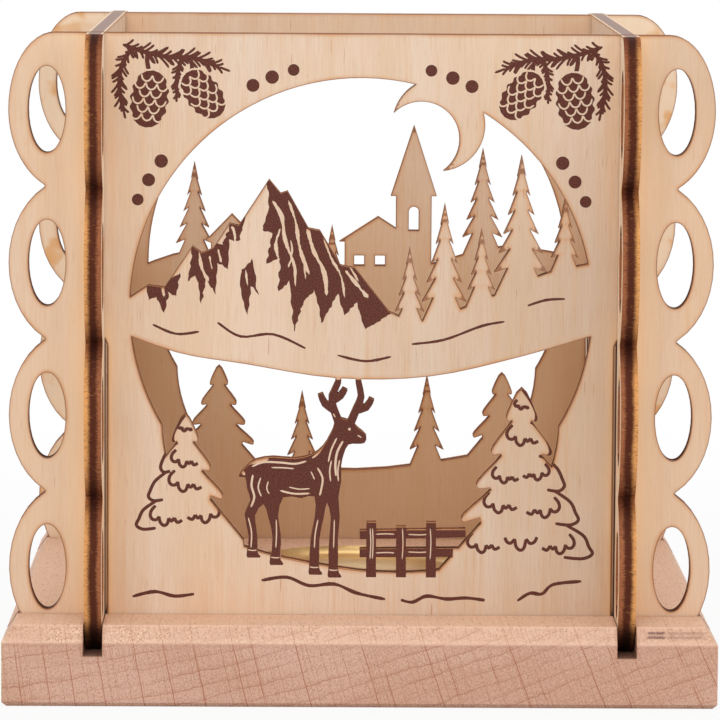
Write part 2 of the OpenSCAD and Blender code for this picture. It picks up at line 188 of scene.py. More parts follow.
def sprig(points, long):
    """A needled twig: needles leave the twig's curve in pairs at even lengths along it, lean towards
    its tip by 25 to 58 degrees, and get shorter at both of its ends."""
    every, pen = 0.86, 0.44
    p = smooth(points, 8)
    run = np.gradient(p, axis=0)
    length = np.r_[0, np.cumsum(np.linalg.norm(np.diff(p, axis=0), axis=1))]
    shapes = [(stroke(points, 0.78, tip=0.4), True)]
    for i, s in enumerate(np.arange(0.5, length[-1], every)):
        share = s / length[-1]
        foot = [np.interp(s, length, p[:, axis]) for axis in (0, 1)]
        ahead_x, ahead_y = (np.interp(s, length, run[:, axis]) for axis in (0, 1))
        along = math.degrees(math.atan2(ahead_y, ahead_x))
        for side in (-1, 1):
            reach = long * (0.80 + 0.20 * math.sin(2.1 * i + side)) * (1 - 0.45 * abs(2 * share - 1) ** 3)
            lean = side * (47 + 11 * math.sin(1.7 * i + 2.0 * side)) * (1 - 0.3 * share)
            line = turned([(0, 0), (reach * 0.55, -0.10 * side), (reach, 0)], along + lean, foot)
            shapes.append((stroke(line, pen, tip=0.3, steps=3), True))
    tip = p[-1] + run[-1] / np.linalg.norm(run[-1]) * long * 0.7
    return shapes + [(stroke([p[-1], tip], pen, tip=0.3), True)]


def corner_spray():
    """Two fir cones that hang from needled twigs in the panel's top left corner."""
    m = np.array([-33.3, 107.6])
    shapes = []
    for twig, long in (([(-9.0, 8.2), (-5.2, 6.9), (-0.8, 6.0), (3.4, 5.9), (8.0, 4.3)], 3.0),
                       ([(-7.4, 7.6), (-9.2, 4.4), (-9.6, 0.6), (-8.9, -3.2)], 2.5),
                       ([(1.4, 6.0), (0.6, 2.6), (0.5, -0.6)], 1.9)):
        shapes += sprig(m + twig, long)
    for stem in ([(-4.6, 6.8), (-4.7, 5.4), (-4.4, 3.6)], [(2.6, 6.0), (3.2, 4.8), (3.2, 3.4)]):
        shapes.append((stroke(m + stem, 0.8), True))
    for place, angle, long, wide in (((-4.3, -1.4), -98, 10.2, 6.5), ((5.2, -0.5), -52, 9.6, 6.0)):
        shapes += fir_cone(m + place, angle, long, wide)
    return shapes


def rim_dots():
    """Dots on a circle 3 mm outside the window: on each side three near its top and three lower."""
    circle = 44.1
    shapes = []
    for turn, r in ((16.0, 1.05), (21.2, 1.20), (26.0, 1.16), (53.6, 1.20), (58.8, 1.16), (64.0, 1.05)):
        a = math.radians(turn)
        for side in (-1, 1):
            middle = WINDOW_MIDDLE + circle * np.array([side * math.sin(a), math.cos(a)])
            shapes.append((disc(middle, r), True))
    return shapes


def rocks(faces, streaks):
    """Bare rock as ragged patches of ink, crossed by pale gullies that narrow to both of their ends."""
    return [(rough(at(f)), True) for f in faces] + \
        [(rough(stroke(at(s), wide, tip=0.05, wander=0.4), 0.05), False) for s, wide in streaks]


def snow_lines(lines, pen=0.62):
    """Long uneven lines on the snow."""
    return [(stroke(line, pen, tip=0.6, wander=0.18), True) for line in lines]


def corners():
    """What every panel carries at its top: a spray in each corner, and the dots round the window."""
    spray = corner_spray()
    return spray + mirrored(spray) + rim_dots()


def front_print():
    """Crag, stag, fence, firs and snow lines of the front panel."""
    shapes = rocks(
        faces=[
            [-.41, .6, -.3, .56, -.2, .38, -.14, .36, -.05, .21, .03, .2, .15, 0, .02, -.09, -.02, .03,
             -.07, -.03, -.1, .07, -.17, -.06, -.2, .08, -.25, .03, -.29, -.1, -.31, .12, -.36, .07,
             -.35, .22, -.41, .2, -.385, .33, -.43, .34, -.4, .44],
            [-.73, .32, -.66, .28, -.6, .28, -.545, .42, -.5, .4, -.53, .29, -.57, .3, -.575, .17, -.62, .2,
             -.63, .06, -.67, .13, -.69, .02, -.715, .15, -.75, .12, -.735, .21],
            [-.93, .14, -.84, .12, -.78, .16, -.8, .05, -.83, .07, -.85, -.02, -.885, .05, -.92, .03],
            [-.47, .22, -.445, .06, -.475, .1, -.49, -.03, -.525, .09, -.52, .16]],
        streaks=[
            ([-.385, .47, -.345, .4, -.33, .3, -.29, .19, -.285, .1], .62),
            ([-.315, .47, -.285, .38, -.265, .26, -.225, .15], .5),
            ([-.235, .35, -.205, .25, -.16, .16, -.15, .06], .66),
            ([-.165, .31, -.13, .22, -.09, .15, -.07, .05], .42), ([-.07, .17, -.02, .11, .03, .05], .55),
            ([-.35, .35, -.37, .28, -.355, .21], .46), ([-.245, .21, -.242, .13], .36),
            ([-.1, .24, -.055, .19, -.01, .12], .34), ([-.305, .3, -.3, .24, -.315, .18], .3),
            ([.02, .16, .07, .08, .1, .02], .4), ([-.7, .25, -.69, .18, -.66, .12], .44),
            ([-.62, .26, -.605, .2], .4), ([-.86, .1, -.85, .05], .36),
            ([-.56, .36, -.545, .31, -.555, .24], .36), ([-.655, .23, -.645, .17], .28),
            ([-.5, .17, -.49, .1], .3)])
    shapes += snow_lines([at(line) for line in (
        [-.62, -.06, -.52, -.12, -.38, -.11, -.24, -.17], [-.9, -.07, -.8, -.11, -.7, -.1],
        [.22, -.15, .36, -.13, .52, -.07, .62, -.05], [-.1, -.2, .02, -.225, .13, -.205],
        [.72, .02, .8, .045, .88, .05])], 0.46)

    # the stag stands in ink, with long pale lines, and its hooves sink into the snow
    def stag(points):
        return at(np.array([-.24, -1.09]) + .77 * np.reshape(points, (-1, 2)))

    shapes.append((at([-.56, -.7, -.4, -.66, -.3, -.306, -.1, -.306, .08, -.308, .08, -.68, -.055, -.76,
                       -.055, -1.09, -.3, -1.05, -.43, -1, -.475, -.98, -.56, -.86]), True))
    for hoof, ground in ((-.295, -1.062), (-.165, -1.094), (.055, -1.136), (.163, -1.148)):
        foot = at((-.24 + .77 * hoof, ground))
        leg = [(-.92, 5.0), (.92, 5.0), (.88, .5), (1.02, -.1), (1.5, -.75), (1.36, -1.0), (-.86, -1.0),
               (-1.02, -.55), (-.88, .5)]
        shapes += [(foot + leg, True), (stroke(foot + [(-.75, .42), (.05, .3), (.8, .36)], .2), False)]
    for line, wide in (
            ([-.3, .522, -.235, .548, -.14, .547, -.055, .54, .01, .556], .36),
            ([-.19, .518, -.12, .517, -.06, .512], .24),
            ([.04, .572, .075, .602, .118, .668, .14, .715], .34),
            ([.215, .672, .183, .61, .172, .54, .176, .47], .4), ([.18, .69, .148, .62, .132, .55], .3),
            ([.15, .56, .14, .5, .146, .44], .26), ([.196, .565, .186, .5, .19, .44], .26),
            ([-.292, .478, -.3, .415, -.284, .35, -.304, .29], .38),
            ([-.248, .462, -.262, .405, -.244, .352], .26), ([-.205, .44, -.214, .4, -.2, .368], .22),
            ([.07, .52, .1, .46, .092, .392, .084, .36], .34), ([.034, .498, .056, .45], .22),
            ([-.14, .388, -.06, .37, .03, .372], .34), ([-.09, .408, -.03, .396, .03, .4], .22),
            ([-.318, .235, -.299, .15, -.302, .06], .24), ([-.16, .225, -.158, .14, -.162, .06], .22),
            ([.076, .225, .06, .14, .056, .06], .24), ([.168, .225, .166, .14, .164, .06], .22),
            ([.296, .704, .318, .69], .22), ([.17, .805, .158, .826], .24),
            ([-.356, .5, -.338, .474], .5)):
        shapes.append((stroke(stag(line), wide, tip=0.05), False))
    shapes.append((disc(stag((.25, .738)), .25, 12), False))
    # the fence, dark as weathered wood
    shapes += [(at([x - .022, -1.17, x + .022, -1.17, x + .022, y + .01, x - .022, y + .01]), True)
               for x, y in ((.05, -.93), (.18, -.95), (.31, -.93))]
    shapes += [(at([-.01, y - .019, end, y - .017, end, y + .023, -.01, y + .021]), True)
               for y, end in ((-.985, .475), (-1.065, .405))]
    light = [[.07, y, .12, y + .002, .15, y] for y in (-.981, -1.063)]
    light += [[.21, y + .002, .26, y, .29, y + .002] for y in (-.983, -1.06)]
    shapes += [(stroke(at(line), 0.22), False) for line in light]
    shapes += [(stroke(at([x, -.955, x + .003, -1.02, x, -1.09]), 0.2), False)
               for x in (.045, .055, .185, .306)]
    shapes += snowy_fir((.7, -1.08), .74, 5, outer=1) + snowy_fir((-.76, -.96), .5, 4, outer=-1)
    shapes += snow_lines([
        [-17.5, 20.4, -13, 21, -9, 19.5, -4.5, 19.8, -0.5, 18.2, 4.6, 17.1],
        [7.4, 17, 9.5, 16.6, 12, 17.7, 15.5, 17.2, 19, 17.4, 22.4, 17],
        [28.2, 16.9, 30.4, 18.3, 32.6, 18.2, 34.6, 19.9, 39.6, 20.5],
        [-40.5, 17.4, -36.5, 18.3, -33, 17.5, -29.5, 17.9]])
    return shapes + corners()


def back_print():
    """Roofs, frames, firs and snow lines of the back panel's hamlet."""
    shapes = []
    for x, y, wide, wall, roof in ((-.1, -.1, .32, .2, .12), (-.27, -.1, .17, .42, .34),
                                   (.34, -.06, .24, .14, .15), (.6, -.02, .2, .12, .13)):
        half, top = wide / 2, y + wall
        left, right, ridge = x - half, x + half, top + roof + .02
        shapes.append((at([left - .04, top - .012, left + .03, top - .022, x, top + roof * .1, right - .03,
                           top - .022, right + .04, top - .012, x + .01, ridge, x - .01, ridge]), True))
        for share in (.35, .62):
            streak = np.array([(-half * (1 - share) * .3, share), (half * .05, share - .12),
                               (half * (.78 - share * .7), share * .55)])
            shapes.append((stroke(at(streak * (1, roof) + (x, top)), 0.34, tip=0.2), False))
        for step in np.arange(0.03, wall - 0.03, 0.042):
            for log in (left + .012, right - .05):
                shapes.append((stroke(at([log, y + step, log + .038, y + step + .002]), 0.26), True))
    for x, y in ((-.11, .01), (-.01, .01), (.29, 0), (.39, 0), (.6, .03)):
        ring = np.array([(-1, -1), (1, -1), (1, 1), (-1, 1), (-1, -1)]) * .036 + (x, y)
        shapes += [(stroke(at(ring[i:i + 2]), 0.36, tip=1), True) for i in range(4)]
    shapes += [(stroke(at([-.306, .12, -.306, .26, -.27, .305, -.234, .26, -.234, .12]), 0.4), True)]
    shapes += snow_lines([at(line) for line in (
        [-.86, -.04, -.74, -.08, -.6, -.07, -.46, -.13], [-.36, -.2, -.2, -.25, -.04, -.22, .1, -.27],
        [.22, -.2, .38, -.18, .52, -.22, .66, -.16], [.74, -.12, .84, -.1, .9, -.12],
        [-.3, -.33, -.12, -.36, .06, -.34], [-.52, -1.16, -.34, -1.2, -.2, -1.17, -.02, -1.22],
        [.12, -1.2, .3, -1.16, .44, -1.19])], 0.55)
    shapes += snowy_fir((-.7, -.95), .42, 4, outer=-1) + snowy_fir((.66, -.98), .48, 5, outer=1)
    return shapes + corners()


def side_print():
    """Snow lines and snowy firs of a side panel."""
    shapes = snow_lines([at(line) for line in (
        [-.88, .04, -.74, -.02, -.62, -.03, -.5, -.1], [-.4, -.18, -.24, -.24, -.08, -.25, .06, -.3],
        [.16, -.27, .32, -.28, .48, -.22, .6, -.22], [.68, -.14, .8, -.09, .9, -.07],
        [-.2, -.35, -.02, -.38, .14, -.36], [-.26, -1.16, -.1, -1.2, .06, -1.17, .24, -1.22],
        [-.7, -1.18, -.56, -1.22, -.42, -1.2], [.5, -1.2, .64, -1.16, .78, -1.19])], 0.55)
    shapes += snowy_fir((-.48, -1.00), .54, 5) + snowy_fir((.52, -1.00), .46, 4)
    return shapes + corners()


# ---- Flat geometry on whole arrays

def split_edges(a, b, longest):
    """Segments a-b cut into equal parts no longer than `longest`: returns the parts' ends."""
    parts = np.maximum(1, np.ceil(np.linalg.norm(b - a, axis=1) / longest)).astype(int)
    which = np.repeat(np.arange(len(a)), parts)
    k = np.arange(parts.sum()) - np.repeat(np.cumsum(parts) - parts, parts)
    start = a[which] + (b - a)[which] * (k / parts[which])[:, None]
    end = a[which] + (b - a)[which] * ((k + 1) / parts[which])[:, None]
    return start, end


def in_strips(points, a, b, reach, work, strip=240):
    """Runs work(points, a, b) on strips of points of like height, each with only the segments a-b
    that come within reach of its height."""
    result = np.empty(len(points))
    low, high = np.minimum(a[:, 1], b[:, 1]) - reach, np.maximum(a[:, 1], b[:, 1]) + reach
    for part in np.array_split(np.argsort(points[:, 1]), len(points) // strip + 1):
        p = points[part]
        near = (high >= p[:, 1].min(initial=1e9)) & (low <= p[:, 1].max(initial=-1e9))
        result[part] = work(p[:, None, :], a[near], b[near])
    return result


def gap_to(points, a, b, most=4.0):
    """Distance from each point to the nearest of the segments a-b, up to `most`: the point's foot on
    a segment is its projection, held between the segment's ends."""
    def work(p, a, b):
        run = b - a
        t = np.clip(((p - a) * run).sum(2) / ((run ** 2).sum(1) + 1e-12), 0, 1)
        return np.sqrt(((p - a - run * t[..., None]) ** 2).sum(2).min(1, initial=most ** 2))
    return in_strips(points, a, b, most, work)


def winding(points, a, b):
    """How often the loops a-b turn round each point: the upward less the downward segments that
    cross the ray from the point to the right."""
    def work(p, a, b):
        x, y = p[..., 0], p[..., 1]
        cross = (b[:, 0] - a[:, 0]) * (y - a[:, 1]) - (x - a[:, 0]) * (b[:, 1] - a[:, 1])
        up = (a[:, 1] <= y) & (b[:, 1] > y) & (cross > 0)
        down = (a[:, 1] > y) & (b[:, 1] <= y) & (cross < 0)
        return up.sum(1) - down.sum(1)
    return in_strips(points, a, b, 0.0, work)


def lone_edges(triangles):
    """The directed edges of triangles that no neighbour shares."""
    e = np.concatenate([triangles[:, (0, 1)], triangles[:, (1, 2)], triangles[:, (2, 0)]])
    size = e.max() + 1
    return e[~np.isin(e[:, 0] * size + e[:, 1], e[:, 1] * size + e[:, 0])]


def mesh_of(name, places, tris, quads, slots=None, sharp=None):
    """A mesh object from its points' places and the corners of its flat triangles and smooth quads,
    with the material slot of each face. Edges that turn by more than `sharp` degrees stay sharp."""
    tris, quads = np.reshape(tris, (-1, 3)), np.reshape(quads, (-1, 4))
    loops = np.concatenate([tris.ravel(), quads.ravel()]).astype(np.int32)
    starts = np.concatenate([np.arange(len(tris)) * 3,
                             tris.size + np.arange(len(quads)) * 4]).astype(np.int32)
    me = bpy.data.meshes.new(name)
    me.vertices.add(len(places))
    me.vertices.foreach_set("co", np.asarray(places, np.float32).ravel())
    me.loops.add(len(loops))
    me.loops.foreach_set("vertex_index", loops)
    me.polygons.add(len(starts))
    me.polygons.foreach_set("loop_start", starts)
    me.polygons.foreach_set("use_smooth", np.arange(len(starts)) >= len(tris))
    if slots is not None:
        me.polygons.foreach_set("material_index", np.asarray(slots, np.int32))
    me.update(calc_edges=True)
    if sharp is not None:
        me.set_sharp_from_angle(angle=math.radians(sharp))
    obj = bpy.data.objects.new(name, me)
    bpy.context.scene.collection.objects.link(obj)
    return obj


def put_attribute(obj, name, values):
    """Values per point of a mesh, one or three at each, for its materials to read."""
    kind, field = ("FLOAT_VECTOR", "vector") if np.ndim(values) == 2 else ("FLOAT", "value")
    layer = obj.data.attributes.new(name, kind, "POINT")
    layer.data.foreach_set(field, np.asarray(values, np.float32).ravel())


# ---- Panels

SHEET_STEP = 211.0                     # keeps the patterns of two panels apart
FACE, EDGE, INK = 0, 1, 2              # material slots of a panel


def cut_outline(node, across, out):
    """The outline and cut-outs of a panel, from its CAD solid: the outer face's triangles are those
    whose corners all lie on it, and the edges that only one of them has bound it."""
    me = nodes[node].data
    co = np.empty(len(me.vertices) * 3)
    me.vertices.foreach_get("co", co)
    co = co.reshape(-1, 3) / MM
    me.calc_loop_triangles()
    tri = np.empty(len(me.loop_triangles) * 3, int)
    me.loop_triangles.foreach_get("vertices", tri)
    tri = tri.reshape(-1, 3)
    flat = np.stack([co @ across, co[:, 2]], 1)
    face = tri[((co @ out)[tri] > PANEL_MIDDLE + PLY / 2 - 0.01).all(1)]
    key, same = np.unique(np.round(flat * 1000).astype(int), axis=0, return_inverse=True)
    face = same.reshape(-1)[face]
    face = face[(face[:, 0] != face[:, 1]) & (face[:, 1] != face[:, 2]) & (face[:, 0] != face[:, 2])]
    e = lone_edges(face)
    a, b = key[e[:, 0]] / 1000.0, key[e[:, 1]] / 1000.0
    # where triangles meet along a part of a side only, there is sheet on both sides: that is no cut
    aside = (b - a)[:, ::-1] * (-0.02, 0.02) / np.linalg.norm(b - a, axis=1)[:, None]
    cut = (winding((a + b) / 2 + aside, a, b) > 0) != (winding((a + b) / 2 - aside, a, b) > 0)
    return a[cut], b[cut]


def seeds(a, b):
    """Points for the corners of a sheet's triangles: rings at three distances inside the cuts a-b,
    thinned out where they crowd, with a point inside each sharp corner, and an even grid beyond."""
    run = (b - a) / np.linalg.norm(b - a, axis=1)[:, None]
    inward = np.stack([-run[:, 1], run[:, 0]], 1)
    # sharp corners, with the sum of the inward directions of the two cuts that meet there
    ends = np.r_[a, b]
    _, first, corner = np.unique(np.round(ends * 1000).astype(int), axis=0, return_index=True,
                                 return_inverse=True)
    bisector = np.stack([np.bincount(corner.ravel(), np.tile(inward[:, axis], 2)) for axis in (0, 1)], 1)
    length = np.linalg.norm(bisector, axis=1)
    sharp = (length > 0.1) & (length < 1.94)
    sharp_at, bisector = ends[first][sharp], (bisector / (length + 1e-9)[:, None])[sharp]
    points = []
    for reach, every in ((0.30, 1), (0.75, 1), (1.5, 2)):
        ring = np.concatenate([((a + b) / 2 + inward * reach)[::every], sharp_at + bisector * reach * 1.02])
        ring = ring[(gap_to(ring, a, b) > reach * 0.93) & (winding(ring, a, b) > 0)]
        _, kept = np.unique(np.round(ring / (reach * 0.8)).astype(int), axis=0, return_index=True)
        points.append(ring[np.sort(kept)])
    x, y = np.meshgrid(np.arange(-PANEL_HALF, PANEL_HALF, 3.0), np.arange(PANEL_FOOT, PANEL_TOP, 3.0))
    grid = np.stack([(x + 1.5 * (np.arange(len(x)) % 2)[:, None]).ravel(), y.ravel()], 1)
    return np.concatenate(points + [grid[(gap_to(grid, a, b) > 2.2) & (winding(grid, a, b) > 0)]])


def filled(a, b, shapes):
    """The sheet inside the cuts a-b as triangles, with every cut and every outline of the print among
    their edges, and all turned the same way: returns the places of their corners, and the triangles."""
    corner_sets, edges, count = [a, b], [np.arange(len(a))[:, None] + (0, len(a))], 2 * len(a)
    for outline, _ in shapes:
        i = np.arange(len(outline))
        edges.append(count + np.stack([i, np.roll(i, -1)], 1))
        corner_sets.append(outline)
        count += len(outline)
    points = np.concatenate(corner_sets + [seeds(a, b)])
    lines = np.concatenate(edges).tolist()
    flat, _, face, *_ = delaunay_2d_cdt(points.tolist(), lines, [], 0, 1e-4, False)
    flat, face = np.array([tuple(p) for p in flat]), np.array(face)
    face = face[winding(flat[face].mean(1), a, b) > 0]
    turn = np.cross(flat[face[:, 1]] - flat[face[:, 0]], flat[face[:, 2]] - flat[face[:, 0]])
    face, turn = face[np.abs(turn) > 1e-7], turn[np.abs(turn) > 1e-7]
    face[turn < 0] = face[turn < 0][:, ::-1]
    used, face = np.unique(face, return_inverse=True)
    return flat[used], face.reshape(-1, 3)


def in_ink(middle, shapes):
    """Whether each triangle, given by its middle, is printed: the last shape that holds it decides."""
    inked = np.zeros(len(middle), bool)
    for outline, dark in shapes:
        near = np.flatnonzero(((middle > outline.min(0)) & (middle < outline.max(0))).all(1))
        if len(near):
            inside = winding(middle[near], outline, np.roll(outline, -1, 0)) != 0
            inked[near[inside]] = dark
    return inked


def panel(name, node, body, across, out, shapes, number):
    """A plywood panel: its face is the CAD outline filled with triangles, finer near the cuts, with
    the print's outlines among their edges; the same triangles make its back, and a wall one sheet
    thick joins the two along every cut. A point at (u, v) on a face lies at across * u + up * v +
    out * (middle of the sheet + half its thickness, or less it)."""
    across, out, up = np.array(across, float), np.array(out, float), np.array([0, 0, 1.0])
    a, b = split_edges(*cut_outline(node, across, out), 1.3)
    flat, face = filled(a, b, shapes)
    inked = in_ink(flat[face].mean(1), shapes)
    count = len(flat)
    rim = lone_edges(face)
    walls = np.stack([rim[:, 1], rim[:, 0], rim[:, 0] + count, rim[:, 1] + count], 1)
    sheet = np.concatenate([np.c_[flat, np.full(count, t)] for t in (PLY / 2, -PLY / 2)])
    places = sheet[:, :1] * across + sheet[:, 1:2] * up + (PANEL_MIDDLE + sheet[:, 2:]) * out
    slots = [np.where(inked, INK, FACE), np.full(len(face), FACE), np.full(len(walls), EDGE)]
    obj = mesh_of(name, places * MM, np.concatenate([face, face[:, ::-1] + count]), walls,
                  slots=np.concatenate(slots), sharp=35)
    put_attribute(obj, "sheet", sheet + (SHEET_STEP * number, 0, 0))
    put_attribute(obj, "cut_gap", np.tile(gap_to(flat, a, b), 2))
    put_attribute(obj, "recess", np.tile(PANEL_HALF - np.abs(flat[:, 0]), 2))
    for finish in SHEET_FINISHES:
        obj.data.materials.append(finish)
    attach(obj, body)
    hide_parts(node)


# ---- Finishes

class Value:
    """A shader socket that sums can be written with: every operator adds one Math node."""

    def __init__(self, nodes, socket):
        self.nodes, self.socket = nodes, socket

    def sum(self, operation, a, b=0.0, clamp=False):
        return self.nodes.node("ShaderNodeMath", {"operation": operation, "use_clamp": clamp}, {0: a, 1: b})

    def __add__(self, other): return self.sum("ADD", self, other)
    def __radd__(self, other): return self.sum("ADD", other, self)
    def __sub__(self, other): return self.sum("SUBTRACT", self, other)
    def __rsub__(self, other): return self.sum("SUBTRACT", other, self)
    def __mul__(self, other): return self.sum("MULTIPLY", self, other)
    def __rmul__(self, other): return self.sum("MULTIPLY", other, self)
    def __truediv__(self, other): return self.sum("DIVIDE", self, other)
    def __rtruediv__(self, other): return self.sum("DIVIDE", other, self)
    def __pow__(self, other): return self.sum("POWER", self, other)
    def __rpow__(self, other): return self.sum("POWER", other, self)
    def __abs__(self): return self.sum("ABSOLUTE", self)
    def __lt__(self, other): return self.sum("LESS_THAN", self, other)
    def __gt__(self, other): return self.sum("GREATER_THAN", self, other)
    def held(self): return self.sum("ADD", self, clamp=True)
    def least(self, other): return self.sum("MINIMUM", self, other)
    def most(self, other): return self.sum("MAXIMUM", self, other)
    def turn_to(self, other): return self.sum("ARCTAN2", self, other)
    def whole(self): return self.sum("FLOOR", self)
    def part(self): return self.sum("FRACT", self)
    def between(self, low, high):
        """0 below low, 1 above high, and a smooth step between; low may be the greater."""
        ends = {0: self, 1: low, 2: high, 3: 0.0, 4: 1.0}
        return self.nodes.node("ShaderNodeMapRange", {"interpolation_type": "SMOOTHSTEP"}, ends)


class Nodes:
    """A node tree that every node is added to by one method."""

    def __init__(self, tree):
        self.tree = tree

    def node(self, kind, settings, sockets, out=0):
        """Any node: its type, its settings, then the values or links of its sockets; gives one output."""
        n = self.tree.nodes.new(kind)
        for key, setting in settings.items():
            setattr(n, key, setting)
        for key, value in sockets.items():
            if isinstance(value, Value):
                self.tree.links.new(value.socket, n.inputs[key])
            else:
                n.inputs[key].default_value = value
        return Value(self, n.outputs[out])

    def seen(self):
        """1 where the background shows: to the camera, in a reflection and through glass."""
        camera, glossy, glass = (self.node("ShaderNodeLightPath", {}, {}, f"Is {ray} Ray")
                                 for ray in ("Camera", "Glossy", "Transmission"))
        return camera.most(glossy).most(glass)


class Finish(Nodes):
    """A procedural material round one Principled shader. Its colour is laid on coat by coat."""

    def __init__(self, name, **fixed):
        self.material = bpy.data.materials.new(name)
        self.material.use_nodes = True
        super().__init__(self.material.node_tree)
        self.tree.nodes.clear()
        self.shader = self.tree.nodes.new("ShaderNodeBsdfPrincipled")
        self.output = self.tree.nodes.new("ShaderNodeOutputMaterial")
        self.tree.links.new(self.shader.outputs[0], self.output.inputs[0])
        for socket, number in fixed.items():
            self.shader.inputs[socket.replace("_", " ")].default_value = number
        self.colour = None

    def attribute(self, name, out="Fac"):
        return self.node("ShaderNodeAttribute", {"attribute_name": name}, {}, out)

    def parts(self, vector):
        return [self.node("ShaderNodeSeparateXYZ", {}, {0: vector}, i) for i in range(3)]

    def place(self):
        """Object coordinates in millimetres."""
        metres = self.node("ShaderNodeTexCoord", {}, {}, "Object")
        scaled = self.node("ShaderNodeVectorMath", {"operation": "SCALE"}, {0: metres, "Scale": 1 / MM})
        return self.parts(scaled)

    def sheet(self):
        """A panel's own coordinates in millimetres: across it, up, and through its thickness."""
        return self.parts(self.attribute("sheet", "Vector"))

    def noise(self, x, y, z, detail=2.0, rough=0.5):
        vector = self.node("ShaderNodeCombineXYZ", {}, {0: x, 1: y, 2: z})
        return self.node("ShaderNodeTexNoise", {"noise_dimensions": "3D"},
                         {"Vector": vector, "Scale": 1.0, "Detail": detail, "Roughness": rough})

    def blend(self, share, a, b, how="MIX"):
        settings = {"data_type": "RGBA", "blend_type": how, "clamp_factor": True}
        return self.node("ShaderNodeMix", settings, {0: share, 6: a, 7: b}, 2)

    def coat(self, share, *colour, how="MIX"):
        """Lays a colour, written 0 to 255, over what is there, as far as share says."""
        self.colour = self.blend(share, self.colour, rgb(*colour), how)

    def done(self, roughness, height, strength, distance):
        """Links the colour, the roughness and the bump, and gives the material."""
        sockets = {"Strength": strength, "Distance": distance, "Height": height}
        bump = self.node("ShaderNodeBump", {}, sockets)
        for name, value in (("Base Color", self.colour), ("Roughness", roughness), ("Normal", bump)):
            self.tree.links.new(value.socket, self.shader.inputs[name])
        return self.material


def rgb(r, g, b):
    """A colour written as it shows on screen, 0 to 255, as the linear colour a shader takes."""
    c = np.array([r, g, b]) / 255
    c = np.where(c <= 0.04045, c / 12.92, ((c + 0.055) / 1.055) ** 2.4)
    return (*map(float, c), 1.0)


